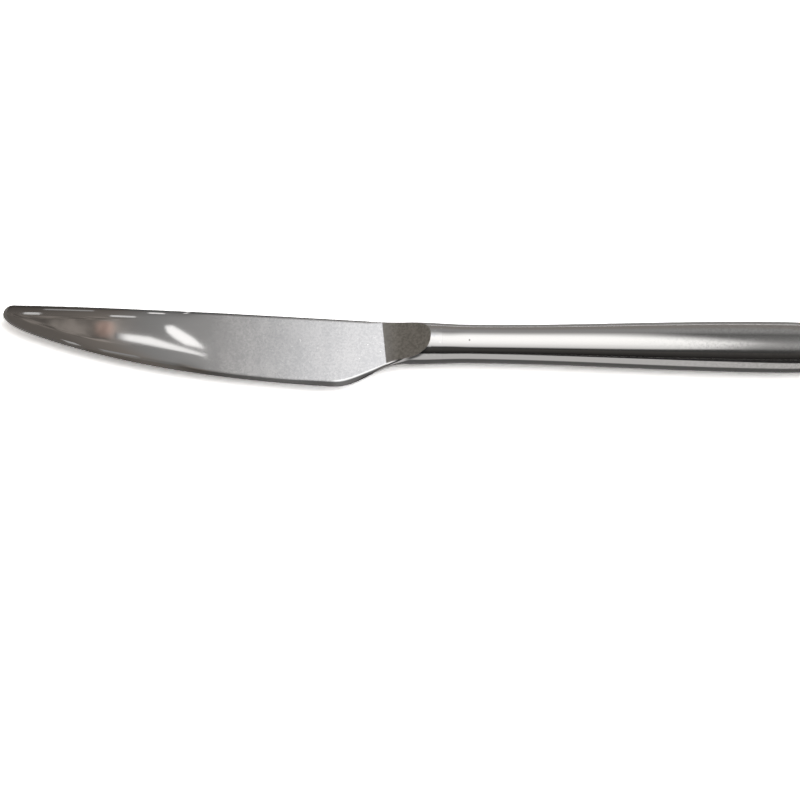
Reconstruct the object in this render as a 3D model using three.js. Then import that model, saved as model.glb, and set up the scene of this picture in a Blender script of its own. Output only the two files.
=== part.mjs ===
// A dessert knife: a forged blade with its scooped neck, spigot and tang, held in a hollow round
// handle that is brazed together from two stamped half shells. It lies on its side, as on a table.
//
// Sizes are millimetres. The knife's own axes, before it is laid down, are
//   x along the handle's axis, from the blade's tip at x = 0 to the handle's end,
//   y across the blade, from its cutting edge up to its spine,
//   z out of the blade's face, with the middle of the blade's thickness at z = 0.

import * as THREE from 'three';
import { mergeVertices } from 'three/addons/utils/BufferGeometryUtils.js';

// Lengths along the axis, which add up to the whole knife
const BLADE_LENGTH = 92.85; // tip to the start of the scooped neck
const SCOOP_LENGTH = 10.9; // start of the scoop to its crest on the round neck
const COLLAR_LENGTH = 2.75; // crest of the scoop to the joint with the handle
const HANDLE_LENGTH = 103.2; // mouth of the handle to its rounded end

// Clearance between pieces that are soldered, cemented or brazed to each other
const JOINT_GAP = 0.3;

// Blade outline: heights above the handle's axis, and places along the blade
const TIP_RADIUS = 2.4; // round between the tip and the spine
const SPINE_HEIGHT = 8.92; // spine where it leaves the tip
const SPINE_AT_NECK = 5.3; // spine where the scoop starts
const BELLY_START = 9.5; // end of the tip's curve, measured from the tip
const BELLY_START_HEIGHT = 0.65;
const HEEL_BACK = 12.35; // deepest point of the belly, measured back from the scoop
const HEEL_DEPTH = 11.35; // deepest point of the belly below the axis
const CHOIL_BACK = 3.55; // middle of the heel's S-curve, measured back from the scoop
const CHOIL_DEPTH = 8.5;
const NECK_FAIRING_LENGTH = 7.15; // length past the scoop's start where the outline becomes round

// Headings of the outline at its nodes, in degrees above the axis
const SPINE_HEADING_AT_TIP = -0.5;
const SPINE_HEADING_AT_NECK = -2.9;
const BELLY_HEADING = -19.3;
const HEEL_HEADING = -3;
const CHOIL_HEADING = 31.3;

// How far each node of the outline pulls the curve along its heading
const SPINE_PULL_FROM_TIP = 27.6;
const SPINE_PULL_TO_NECK = 35;
const FAIRING_PULL = 2.4;
const TIP_PULL_DOWN = 2.2;
const BELLY_PULL_TO_TIP = 5.3;
const BELLY_PULL_TO_HEEL = 21.7;
const HEEL_PULL_TO_BELLY = 27.5;
const HEEL_PULL_TO_CHOIL = 4;
const CHOIL_PULL = 3.3;
const NECK_PULL_TO_CHOIL = 4.7;

// Blade thickness: both faces are flat, and taper to the tip and to the edge
const THICKNESS_AT_NECK = 1.9; // on the spine, where the scoop starts
const THICKNESS_AT_TIP = 1.3; // on the spine, at the tip
const THICKNESS_AT_HEEL = 1.05; // at the heel, inside the edge's bevel
const SPINE_ROUND = 0.4; // depth of the rounding along the spine
const BEVEL_WIDTH = 0.75; // ground bevel along the cutting edge
const EDGE_LAND = 0.3; // thickness of the blunt edge
const EDGE_ROUND = 0.1; // depth of the rounding on the blunt edge
const BEVEL_RUN_OUT_LENGTH = 15; // length over which the bevel grows from the tip
const NECK_BLEND_LENGTH = 8; // length over which both edges turn into the neck's round sides

// Scoop that is ground into both faces of the neck
const SCOOP_LEAN = 9.7; // degrees that the scoop's first line leans, spine side towards the tip
const SCOOP_ARC_FIRST = 12; // degrees that the scoop's arc has turned at its first line, 0 being level
const SCOOP_ARC_LAST = 64; // degrees that it has turned at its crest, 90 being upright

// Round neck and handle, as radii about the axis
const NECK_RADIUS = 5.05;
const WAIST_RADIUS = 4.66;
const BULGE_RADIUS = 6.14;
const WAIST_FROM_MOUTH = 6.2;
const BULGE_FROM_END = 23;
const END_FULLNESS = 2.3; // exponent of the rounded end, as for the sections below
const SHELL_WALL = 0.8;

// Spigot and tang, inside the handle
const SPIGOT_LENGTH = 4;
const TANG_SHOULDER = 1.5; // length over which the round spigot narrows to the tang
const TANG_STEP = 0.3; // how far the tang's sides lie inside the spigot's round
const TANG_LENGTH = 45;
const TANG_WIDTH_AT_END = 4;
const TANG_THICKNESS_AT_SPIGOT = 3;
const TANG_THICKNESS_AT_END = 2.2;

// Solder that seals the mouth, and cement that holds the tang
const SOLDER_LENGTH = 3;
const SOLDER_WALL = 0.46;
const CEMENT_BEYOND_TANG = 5;

// How the knife lies: on its round neck and its handle's bulge, turned a little about its axis
const REST_ROLL = 5.8; // degrees that the spine side is lifted

// Facets
const SIDE_STEPS = 8; // from an outline to the crease of a face, a quarter turn on the round neck
const FACE_STEPS = 4; // across a face between its creases
const TIP_STATIONS = 9;
const BLADE_STATIONS = 11;
const HEEL_STATIONS = 10;
const SCOOP_STATIONS = 16;
const SHANK_STATIONS = 20; // handle from its mouth to its bulge
const DOME_STATIONS = 10; // handle from its bulge to its end
const CEMENT_STATIONS = 10;
const SETTLE_ROUNDS = 6; // repeats until a place that depends on itself stands still
const OUTLINE_FINENESS = 1e-9; // step of a curve's parameter below which the search for x ends
const WELD = 1e-3; // points closer than this are one

// Exponents of a rounded section: a circle or an ellipse, and an oblong with small round corners
const ROUND = 2;
const OBLONG = 5;

// Places along the axis
const SCOOP_START = BLADE_LENGTH;
const CREST = SCOOP_START + SCOOP_LENGTH;
const JOINT = CREST + COLLAR_LENGTH;
const MOUTH = JOINT + JOINT_GAP;
const WAIST = MOUTH + WAIST_FROM_MOUTH;
const END = MOUTH + HANDLE_LENGTH;
const BULGE = END - BULGE_FROM_END;
const HEEL = SCOOP_START - HEEL_BACK;
const CHOIL = SCOOP_START - CHOIL_BACK;
const ROUND_FROM = SCOOP_START + NECK_FAIRING_LENGTH;
const SPIGOT_END = JOINT + SPIGOT_LENGTH;
const TANG_START = SPIGOT_END + TANG_SHOULDER;
const TANG_END = TANG_START + TANG_LENGTH;
const SOLDER_END = MOUTH + SOLDER_LENGTH;

const { degToRad, lerp, smoothstep } = THREE.MathUtils;

// Outline

/** A cubic from one point to another, leaving and arriving along headings in degrees. */
function fairCurve(from, headingOut, pullOut, to, headingIn, pullIn) {
  const out = degToRad(headingOut);
  const arrive = degToRad(headingIn);
  const leaving = new THREE.Vector2(Math.cos(out), Math.sin(out)).multiplyScalar(pullOut).add(from);
  const arriving = new THREE.Vector2(Math.cos(arrive), Math.sin(arrive)).multiplyScalar(-pullIn).add(to);
  return new THREE.CubicBezierCurve(from, leaving, arriving, to);
}

const QUARTER_CIRCLE_PULL = 0.5523; // handle of a cubic that follows a quarter circle, in radii
const UP = 90;
const DOWN = -90;
const LEVEL = 0;

const apex = new THREE.Vector2(0, SPINE_HEIGHT - TIP_RADIUS);
const spineAtTip = new THREE.Vector2(TIP_RADIUS, SPINE_HEIGHT);
const spineAtNeck = new THREE.Vector2(SCOOP_START, SPINE_AT_NECK);
const neckTop = new THREE.Vector2(ROUND_FROM, NECK_RADIUS);
const bellyStart = new THREE.Vector2(BELLY_START, BELLY_START_HEIGHT);
const heel = new THREE.Vector2(HEEL, -HEEL_DEPTH);
const choil = new THREE.Vector2(CHOIL, -CHOIL_DEPTH);
const neckBottom = new THREE.Vector2(ROUND_FROM, -NECK_RADIUS);
const tipPull = TIP_RADIUS * QUARTER_CIRCLE_PULL;

const spineCurves = [
  fairCurve(apex, UP, tipPull, spineAtTip, SPINE_HEADING_AT_TIP, tipPull),
  fairCurve(spineAtTip, SPINE_HEADING_AT_TIP, SPINE_PULL_FROM_TIP,
    spineAtNeck, SPINE_HEADING_AT_NECK, SPINE_PULL_TO_NECK),
  fairCurve(spineAtNeck, SPINE_HEADING_AT_NECK, FAIRING_PULL, neckTop, LEVEL, FAIRING_PULL),
];

const bellyCurves = [
  fairCurve(apex, DOWN, TIP_PULL_DOWN, bellyStart, BELLY_HEADING, BELLY_PULL_TO_TIP),
  fairCurve(bellyStart, BELLY_HEADING, BELLY_PULL_TO_HEEL, heel, HEEL_HEADING, HEEL_PULL_TO_BELLY),
  fairCurve(heel, HEEL_HEADING, HEEL_PULL_TO_CHOIL, choil, CHOIL_HEADING, CHOIL_PULL),
  fairCurve(choil, CHOIL_HEADING, CHOIL_PULL, neckBottom, LEVEL, NECK_PULL_TO_CHOIL),
];

/** A value that eases from a to b as t goes from 0 to 1, level at both ends. */
function ease(a, b, t) {
  return lerp(a, b, (1 - Math.cos(Math.PI * t)) / 2);
}

/** Radius of the round neck and handle at x, up to the bulge. */
function shankRadius(x) {
  if (x <= ROUND_FROM) return NECK_RADIUS;
  if (x <= WAIST) return ease(NECK_RADIUS, WAIST_RADIUS, (x - ROUND_FROM) / (WAIST - ROUND_FROM));
  return ease(WAIST_RADIUS, BULGE_RADIUS, (x - WAIST) / (BULGE - WAIST));
}

/** Point of the outline at x and the way into the blade there; side is 1 on the spine, -1 on the belly. */
function outlineAt(x, side) {
  if (x >= ROUND_FROM) {
    return { point: new THREE.Vector2(x, side * shankRadius(x)), inward: new THREE.Vector2(0, -side) };
  }
  const curves = side > 0 ? spineCurves : bellyCurves;
  const curve = curves.find((piece) => x <= piece.v3.x);
  let low = 0;
  let high = 1;
  while (high - low > OUTLINE_FINENESS) {
    const middle = (low + high) / 2;
    if (curve.getPoint(middle).x < x) low = middle;
    else high = middle;
  }
  const tangent = curve.getTangent(low);
  return { point: curve.getPoint(low), inward: new THREE.Vector2(side * tangent.y, -side * tangent.x) };
}

// Faces of the blade and the scoop

const facePlane = new THREE.Plane().setFromCoplanarPoints(
  new THREE.Vector3(spineAtNeck.x, spineAtNeck.y, THICKNESS_AT_NECK / 2),
  new THREE.Vector3(spineAtTip.x, spineAtTip.y, THICKNESS_AT_TIP / 2),
  new THREE.Vector3(heel.x, heel.y, THICKNESS_AT_HEEL / 2),
);

/** Height of the blade's flat face above its middle plane. */
function flatHeight(x, y) {
  return -(facePlane.normal.x * x + facePlane.normal.y * y + facePlane.constant) / facePlane.normal.z;
}

/** Share of the scoop's rise at t of its length: an arc that steepens from its first line to the crest. */
function scoopRise(t) {
  const first = degToRad(SCOOP_ARC_FIRST);
  const last = degToRad(SCOOP_ARC_LAST);
  const turned = Math.asin(lerp(Math.sin(first), Math.sin(last), t));
  return (Math.cos(first) - Math.cos(turned)) / (Math.cos(first) - Math.cos(last));
}

/** Where the scoop starts at height y: on a line that leans across the blade. */
function scoopStart(y) {
  return SCOOP_START - y * Math.tan(degToRad(SCOOP_LEAN));
}

/** Height of the face over the whole blade and neck: the flat, then the scoop up to its crest. */
function faceHeight(x, y) {
  const flat = flatHeight(x, y);
  const start = scoopStart(y);
  const t = (x - start) / (CREST - start);
  if (t <= 0) return flat;
  return lerp(flat, shankRadius(CREST), scoopRise(Math.min(t, 1)));
}

// Edges: each is a profile of depth in from the outline and height above the middle plane

/** Rounded spine: a quarter of an ellipse up to the face. */
function spineProfile(step) {
  const turn = (step / SIDE_STEPS) * (Math.PI / 2);
  return { depth: SPINE_ROUND * (1 - Math.cos(turn)), share: Math.sin(turn) };
}

/** Cutting edge: a small round on the blunt edge, then the straight bevel up to the face. */
function edgeProfile(step, height) {
  const roundSteps = SIDE_STEPS / 2;
  const land = EDGE_LAND / 2 / height;
  if (step <= roundSteps) {
    const turn = (step / roundSteps) * (Math.PI / 2);
    return { depth: EDGE_ROUND * (1 - Math.cos(turn)), share: land * Math.sin(turn) };
  }
  const along = (step - roundSteps) / (SIDE_STEPS - roundSteps);
  return { depth: lerp(EDGE_ROUND, BEVEL_WIDTH, along), share: lerp(land, 1, along) };
}

/** Side of the round neck: an arc about the axis, up to where the face cuts it. */
function neckProfile(step, radius, height) {
  const cut = Math.asin(Math.min(height / radius, 1));
  const turn = (step / SIDE_STEPS) * cut;
  return { depth: radius * (1 - Math.cos(turn)), share: Math.sin(turn) / Math.sin(cut) };
}

/** Mix of two profiles, weight 0 giving the first and 1 the second. */
function mixProfiles(first, second, weight) {
  return { depth: lerp(first.depth, second.depth, weight), share: lerp(first.share, second.share, weight) };
}

/** Profile of one edge at x, from the outline in to the crease of the face. */
function sideProfile(x, side, step, height) {
  const neck = neckProfile(step, shankRadius(x), height);
  const turned = smoothstep(x, SCOOP_START - NECK_BLEND_LENGTH, SCOOP_START);
  if (side > 0) return mixProfiles(spineProfile(step), neck, turned);
  const ground = smoothstep(x, 0, BEVEL_RUN_OUT_LENGTH);
  const edge = mixProfiles(spineProfile(step), edgeProfile(step, height), ground);
  return mixProfiles(edge, neck, turned);
}

/** Points of one edge at x, from the outline in to the crease, as x, y and height. */
function sidePoints(x, side) {
  const { point, inward } = outlineAt(x, side);
  let crease = point.clone();
  let height = 0;
  for (let round = 0; round < SETTLE_ROUNDS; round += 1) {
    height = Math.min(faceHeight(crease.x, crease.y), shankRadius(x));
    crease = point.clone().addScaledVector(inward, sideProfile(x, side, SIDE_STEPS, height).depth);
  }
  return Array.from({ length: SIDE_STEPS + 1 }, (_, step) => {
    const { depth, share } = sideProfile(x, side, step, height);
    const place = point.clone().addScaledVector(inward, depth);
    return new THREE.Vector3(place.x, place.y, share * height);
  });
}

// Closed solids from rings of points

/** A closed solid from points and triangles: shared points are welded and every face points out. */
function solid(points, triangles) {
  const loose = new THREE.BufferGeometry();
  loose.setAttribute('position', new THREE.Float32BufferAttribute(points.flatMap((p) => p.toArray()), 3));
  loose.setIndex(triangles.flat());
  const welded = mergeVertices(loose, WELD);
  const corner = (index) => new THREE.Vector3().fromBufferAttribute(welded.attributes.position, index);
  const faces = [];
  let volume = 0;
  for (let i = 0; i < welded.index.count; i += 3) {
    const [a, b, c] = [0, 1, 2].map((k) => welded.index.getX(i + k));
    if (a === b || b === c || c === a) continue;
    faces.push([a, b, c]);
    volume += corner(a).dot(corner(b).cross(corner(c)));
  }
  welded.setIndex(volume > 0 ? faces.flat() : faces.flatMap(([a, b, c]) => [a, c, b]));
  welded.computeVertexNormals();
  return welded;
}

/** Triangles of a skin over closed rings of equal count. */
function skin(ringCount, ringSize) {
  const triangles = [];
  for (let i = 0; i + 1 < ringCount; i += 1) {
    for (let j = 0; j < ringSize; j += 1) {
      const next = (j + 1) % ringSize;
      const [a, b] = [i * ringSize + j, i * ringSize + next];
      const [c, d] = [a + ringSize, b + ringSize];
      triangles.push([a, b, d], [a, d, c]);
    }
  }
  return triangles;
}

/** A solid skinned over rings; a ring's ends that are open are closed by a fan to its middle. */
function loft(rings) {
  const ringSize = rings[0].length;
  const points = rings.flat();
  const triangles = skin(rings.length, ringSize);
  [[0, 1], [rings.length - 1, -1]].forEach(([ring, turn]) => {
    const middle = points.length;
    const sum = rings[ring].reduce((total, p) => total.add(p), new THREE.Vector3());
    points.push(sum.divideScalar(ringSize));
    for (let j = 0; j < ringSize; j += 1) {
      const [a, b] = [ring * ringSize + j, ring * ringSize + ((j + 1) % ringSize)];
      triangles.push(turn > 0 ? [middle, b, a] : [middle, a, b]);
    }
  });
  return solid(points, triangles);
}

/** Evenly spaced values from a to b, both included. */
function spaced(a, b, count) {
  return Array.from({ length: count + 1 }, (_, i) => lerp(a, b, i / count));
}

// Blade with its neck, spigot and tang, as one forging

/** Ring round the blade or neck at x: its upper half from spine to edge, then its lower half back. */
function bladeRing(x) {
  const spine = sidePoints(x, 1);
  const edge = sidePoints(x, -1).reverse();
  const [from, to] = [spine[SIDE_STEPS], edge[0]];
  const face = spaced(0, 1, FACE_STEPS).slice(1, -1).map((share) => {
    const place = from.clone().lerp(to, share);
    return place.setZ(Math.min(faceHeight(place.x, place.y), shankRadius(x)));
  });
  const upper = [...spine, ...face, ...edge];
  const lower = upper.slice(1, -1).reverse().map((p) => p.clone().setZ(-p.z));
  return [...upper, ...lower];
}

/** Angles round the axis that match the points of a blade ring where the neck is round. */
function roundAngles() {
  const quarter = spaced(0, Math.PI / 2, SIDE_STEPS);
  const top = Array(FACE_STEPS - 1).fill(Math.PI / 2);
  const upper = [...quarter, ...top, ...quarter.map((a) => Math.PI - a).reverse()];
  return [...upper, ...upper.slice(1, -1).reverse().map((a) => -a)];
}

/** Ring at x of a rounded section with the given half sizes and exponent. */
function sectionRing(x, halfWidth, halfThickness, exponent, angles) {
  const shape = (value) => Math.sign(value) * Math.abs(value) ** (2 / exponent);
  return angles.map((angle) => {
    const y = halfWidth * shape(Math.cos(angle));
    return new THREE.Vector3(x, y, halfThickness * shape(Math.sin(angle)));
  });
}

/** Radius of the shells' bore at x, less the gap that solder and cement keep to it. */
function fillingRadius(x) {
  return shankRadius(x) - SHELL_WALL - JOINT_GAP;
}

// The spigot leaves room for the solder at both ends of the ring
const spigotRadius = Math.min(fillingRadius(MOUTH), fillingRadius(SOLDER_END)) - SOLDER_WALL - JOINT_GAP;

/** Ring of the tang at x, with a clearance added all round. */
function tangRing(x, clearance, angles) {
  const t = (x - TANG_START) / TANG_LENGTH;
  const halfWidth = lerp(spigotRadius - TANG_STEP, TANG_WIDTH_AT_END / 2, t) + clearance;
  const halfThickness = lerp(TANG_THICKNESS_AT_SPIGOT, TANG_THICKNESS_AT_END, t) / 2 + clearance;
  return sectionRing(x, halfWidth, halfThickness, OBLONG, angles);
}

function makeBlade() {
  const angles = roundAngles();
  const tip = spaced(0, 1, TIP_STATIONS).map((t) => BELLY_START * t * t);
  const scoopFirst = scoopStart(SPINE_AT_NECK);
  const stations = [
    ...tip.slice(0, -1),
    ...spaced(BELLY_START, HEEL, BLADE_STATIONS).slice(0, -1),
    ...spaced(HEEL, scoopFirst, HEEL_STATIONS).slice(0, -1),
    ...spaced(scoopFirst, CREST, SCOOP_STATIONS),
    JOINT,
  ];
  return loft([
    ...stations.map(bladeRing),
    sectionRing(JOINT, spigotRadius, spigotRadius, ROUND, angles),
    sectionRing(SPIGOT_END, spigotRadius, spigotRadius, ROUND, angles),
    tangRing(TANG_START, 0, angles),
    tangRing(TANG_END, 0, angles),
  ]);
}

// Handle: two half shells with a brazed seam along the spine and edge sides

/** Profile of the handle from its mouth to its end, set in from the outside by a depth. */
function handleProfile(inset) {
  const shank = spaced(MOUTH, BULGE, SHANK_STATIONS).map((x) => ({ x, radius: shankRadius(x) - inset }));
  const dome = spaced(0, Math.PI / 2, DOME_STATIONS).slice(1).map((turn) => ({
    x: BULGE + (BULGE_FROM_END - inset) * Math.sin(turn) ** (2 / END_FULLNESS),
    radius: (BULGE_RADIUS - inset) * Math.max(Math.cos(turn), 0) ** (2 / END_FULLNESS),
  }));
  return [...shank, ...dome];
}

/** Half circle of the handle, from its spine side to its edge side, held off the seam by half the gap. */
function halfCircle({ x, radius }, side) {
  const seam = JOINT_GAP / 2;
  return spaced(0, Math.PI, 2 * SIDE_STEPS).map((turn) => {
    const height = Math.max(radius * Math.sin(turn), seam);
    const reach = Math.sqrt(Math.max(radius ** 2 - height ** 2, 0));
    return new THREE.Vector3(x, Math.cos(turn) < 0 ? -reach : reach, side * height);
  });
}

/** One half shell; side is 1 above the blade's middle plane and -1 below it. */
function makeHalfShell(side) {
  const inner = handleProfile(SHELL_WALL);
  const rings = handleProfile(0).map((outer, i) => [
    ...halfCircle(outer, side),
    ...halfCircle(inner[i], side).reverse(),
  ]);
  const ringSize = rings[0].length;
  const triangles = skin(rings.length, ringSize);
  for (let j = 0; j < 2 * SIDE_STEPS; j += 1) {
    const [a, b] = [j, j + 1];
    const [c, d] = [ringSize - 1 - j, ringSize - 2 - j];
    triangles.push([a, d, b], [a, c, d]);
  }
  return solid(rings.flat(), triangles);
}

// Filling of the joint

/** Ring of solder round the spigot, just inside the handle's mouth. */
function makeSolderRing() {
  const bore = spigotRadius + JOINT_GAP;
  const front = [[bore, MOUTH], [fillingRadius(MOUTH), MOUTH]];
  const back = [[fillingRadius(SOLDER_END), SOLDER_END], [bore, SOLDER_END]];
  const section = [...front, ...back, front[0]];
  const ring = new THREE.LatheGeometry(section.map(([r, x]) => new THREE.Vector2(r, x)), 4 * SIDE_STEPS);
  ring.rotateZ(-Math.PI / 2);
  const place = ring.attributes.position;
  const pointAt = (_, i) => new THREE.Vector3().fromBufferAttribute(place, i);
  const points = Array.from({ length: place.count }, pointAt);
  const index = Array.from(ring.index.array);
  return solid(points, index.flatMap((_, i) => (i % 3 ? [] : [index.slice(i, i + 3)])));
}

/** Cement that fills the handle round the tang and past its end. */
function makeTangCement() {
  const angles = spaced(0, 2 * Math.PI, 4 * SIDE_STEPS).slice(0, -1);
  const front = TANG_START + JOINT_GAP;
  const bottom = TANG_END + JOINT_GAP;
  const outside = spaced(front, TANG_END + CEMENT_BEYOND_TANG, CEMENT_STATIONS).map((x) => {
    return sectionRing(x, fillingRadius(x), fillingRadius(x), ROUND, angles);
  });
  const pocket = [tangRing(bottom, JOINT_GAP, angles), tangRing(front, JOINT_GAP, angles)];
  return loft([...pocket, ...outside]);
}

// Assembly

const polished = { color: 0xd9d7d4, roughness: 0.12, metalness: 1 };
const finishes = {
  blade: { color: 0xcfccc8, roughness: 0.3, metalness: 1 },
  handle_shell_upper: polished,
  handle_shell_lower: polished,
  solder_ring: { color: 0xb4b2ab, roughness: 0.45, metalness: 1 },
  tang_cement: { color: 0x8f8578, roughness: 0.95, metalness: 0 },
};

const geometries = {
  blade: makeBlade(),
  handle_shell_upper: makeHalfShell(1),
  handle_shell_lower: makeHalfShell(-1),
  solder_ring: makeSolderRing(),
  tang_cement: makeTangCement(),
};

const knife = new THREE.Group();
Object.entries(geometries).forEach(([name, geometry]) => {
  const mesh = new THREE.Mesh(geometry, new THREE.MeshStandardMaterial(finishes[name]));
  mesh.name = name;
  knife.add(mesh);
});
knife.rotation.x = degToRad(REST_ROLL);
knife.updateMatrix();

// Lying on the table: tilted until the neck and the handle both touch it

/** Lowest point of a piece of the rolled knife when the handle's end is lifted by a tilt. */
function lowestPoint(geometry, tilt) {
  const place = geometry.attributes.position;
  const height = (p) => p.z * Math.cos(tilt) + p.x * Math.sin(tilt);
  let lowest = null;
  for (let i = 0; i < place.count; i += 1) {
    const point = new THREE.Vector3().fromBufferAttribute(place, i).applyMatrix4(knife.matrix);
    if (!lowest || height(point) < height(lowest)) lowest = point;
  }
  return lowest;
}

let tilt = 0;
for (let round = 0; round < SETTLE_ROUNDS; round += 1) {
  const front = lowestPoint(geometries.blade, tilt);
  const rear = lowestPoint(geometries.handle_shell_lower, tilt);
  tilt = Math.atan2(front.z - rear.z, rear.x - front.x);
}

const lying = new THREE.Group();
lying.add(knife);
lying.rotation.y = -tilt;

const box = new THREE.Box3().setFromObject(lying, true);
const middle = box.getCenter(new THREE.Vector3());
lying.position.set(-middle.x, -middle.y, -box.min.z);

const part = new THREE.Group();
part.add(lying);

export default part;
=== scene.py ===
"""Looks of a dessert knife of polished steel that lies on a white studio floor.

Every new piece is worked out in the knife's own axes, in millimetres: x from the blade's tip along the
axis of the handle, y from the cutting edge up to the spine, z out of the blade's upper face. RestPose
then lays the points down in the shared frame, in metres.
"""

import logging
import math
from dataclasses import dataclass
from enum import Enum
from functools import partial, reduce
from typing import Optional, Sequence, Union

import bmesh
import bpy
import numpy as np
from mathutils import Matrix, Vector


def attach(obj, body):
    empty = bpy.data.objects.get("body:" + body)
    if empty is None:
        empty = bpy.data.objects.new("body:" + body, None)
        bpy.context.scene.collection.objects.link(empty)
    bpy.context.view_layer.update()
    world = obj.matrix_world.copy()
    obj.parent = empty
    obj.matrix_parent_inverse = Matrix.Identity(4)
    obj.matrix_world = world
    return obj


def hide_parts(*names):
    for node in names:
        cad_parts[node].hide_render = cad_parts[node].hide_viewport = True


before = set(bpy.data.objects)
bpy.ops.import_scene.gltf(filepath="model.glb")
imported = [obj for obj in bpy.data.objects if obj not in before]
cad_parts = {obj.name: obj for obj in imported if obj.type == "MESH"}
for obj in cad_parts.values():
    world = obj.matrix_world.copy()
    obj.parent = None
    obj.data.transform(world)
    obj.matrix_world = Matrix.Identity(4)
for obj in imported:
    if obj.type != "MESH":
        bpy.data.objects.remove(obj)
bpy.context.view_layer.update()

ROOT_BODY = "root"
MM = 0.001  # metres in a millimetre
WELD_M = 2e-7  # points closer than this become one
QUARTER_CIRCLE_PULL = 0.5523  # handle of a cubic that follows a quarter circle, in radii
ROUND = 2.0  # exponent of a round section
WHITE = (1.0, 1.0, 1.0)
LOG = logging.getLogger("dessert_knife")

Array = np.ndarray
Range = tuple[float, float]
Triple = tuple[float, float, float]
Stops = tuple[Range, ...]
Faces = Sequence[Sequence[int]]
Piece = bpy.types.Object
Material = bpy.types.Material
Socket = bpy.types.NodeSocket
Feed = Union[Socket, float, Triple]
Inputs = dict[Union[str, int], Feed]


class Side(Enum):
    """The two long edges of the blade, with the sign of y on each."""

    SPINE = 1
    EDGE = -1


class Half(Enum):
    """The two half shells of the handle, with the sign of z on each."""

    UPPER = 1
    LOWER = -1


# Numbers and curves


def smooth(low: float, high: float, value: Array) -> Array:
    """Cubic step from 0 at low to 1 at high, level at both ends."""
    t = np.clip((value - low) / (high - low), 0.0, 1.0)
    return t * t * (3.0 - 2.0 * t)


def between(rise: Range, fall: Range, value: Array) -> Array:
    """Weight that rises from 0 to 1 over the first range and falls again over the second."""
    return smooth(*rise, value) * (1.0 - smooth(*fall, value))


def mix(first: Array, second: Array, weight: Array) -> Array:
    """Straight mix of two values, weight 0 giving the first and 1 the second."""
    return first + (second - first) * weight


def ease(first: float, second: float, share: Array) -> Array:
    """Half a cosine wave from the first value to the second as share goes from 0 to 1."""
    return mix(first, second, (1.0 - np.cos(np.pi * share)) / 2.0)


@dataclass(frozen=True)
class OutlineNode:
    """A node of the blade's outline: its place in millimetres and its heading in degrees."""

    x: float
    y: float
    heading: float

    def pulled(self, pull: float) -> Array:
        """The point that lies a pull along the heading."""
        turn = math.radians(self.heading)
        return np.array([self.x + pull * math.cos(turn), self.y + pull * math.sin(turn)])


def fair_curve(start: OutlineNode, end: OutlineNode, pulls: Range, count: int) -> Array:
    """Cubic from one node to another: (1-t)^3 a + 3(1-t)^2 t b + 3(1-t) t^2 c + t^3 d.

    Args:
        start: node that the curve leaves along its heading.
        end: node that the curve reaches along its heading.
        pulls: lengths of the handles at the start and at the end.
        count: number of points.

    Returns:
        Rows of x, y and the curve's unit tangent.
    """
    t = np.linspace(0.0, 1.0, count)[:, None]
    a, b = start.pulled(0.0), start.pulled(pulls[0])
    c, d = end.pulled(-pulls[1]), end.pulled(0.0)
    place = (1 - t) ** 3 * a + 3 * (1 - t) ** 2 * t * b + 3 * (1 - t) * t**2 * c + t**3 * d
    slope = (1 - t) ** 2 * (b - a) + 2 * (1 - t) * t * (c - b) + t**2 * (d - c)
    return np.hstack([place, slope / np.linalg.norm(slope, axis=1, keepdims=True)])


def fair_line(nodes: Sequence[OutlineNode], pulls: Stops, count: int) -> Array:
    """Fair curves from node to node, each with its own pulls, as one run of rows."""
    steps = zip(nodes, nodes[1:], pulls)
    return np.vstack([fair_curve(start, end, pair, count) for start, end, pair in steps])


@dataclass(frozen=True)
class RestPose:
    """How the knife lies: rolled about its axis, tilted until neck and bulge touch, then put in place."""

    roll_deg: float = 5.8
    tilt_deg: float = 0.8571
    tip_mm: Triple = (-104.984, 1.217, 3.4003)

    def matrix(self) -> Array:
        """Turn of the knife: a roll about x, then a tilt that lifts the handle's end.

        Returns:
            The turn as three rows of three.
        """
        roll = Matrix.Rotation(math.radians(self.roll_deg), 3, "X")
        tilt = Matrix.Rotation(math.radians(-self.tilt_deg), 3, "Y")
        return np.array(tilt @ roll)

    def to_row(self, points: Array) -> Array:
        """Points of the knife's axes, in millimetres, as points of the shared frame, in metres."""
        return (points @ self.matrix().T + np.array(self.tip_mm)) * MM

    def to_knife(self, points: Array) -> Array:
        """Points of the shared frame, in metres, as points of the knife's axes, in millimetres."""
        return (points / MM - np.array(self.tip_mm)) @ self.matrix()


@dataclass(frozen=True)
class Axis:
    """Lengths along the knife's axis, in millimetres, and the places that follow from them."""

    blade_length: float = 92.85
    scoop_length: float = 10.9
    collar_length: float = 2.75
    joint_gap: float = 0.3
    handle_length: float = 103.2
    neck_fairing: float = 7.15
    waist_from_mouth: float = 6.2
    bulge_from_end: float = 23.0
    spigot_length: float = 4.0
    tang_shoulder: float = 1.5
    tang_length: float = 45.0

    @property
    def crest(self) -> float:
        """End of the scoop on the round neck."""
        return self.blade_length + self.scoop_length

    @property
    def joint(self) -> float:
        """Face of the neck that the handle butts against."""
        return self.crest + self.collar_length

    @property
    def mouth(self) -> float:
        """Mouth of the stamped shells."""
        return self.joint + self.joint_gap

    @property
    def round_from(self) -> float:
        """Where the outline of the neck becomes round."""
        return self.blade_length + self.neck_fairing

    @property
    def waist(self) -> float:
        """Thinnest place of the handle."""
        return self.mouth + self.waist_from_mouth

    @property
    def bulge(self) -> float:
        """Thickest place of the handle."""
        return self.mouth + self.handle_length - self.bulge_from_end

    @property
    def tang_start(self) -> float:
        """Where the spigot's shoulder has narrowed to the tang."""
        return self.joint + self.spigot_length + self.tang_shoulder


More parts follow.
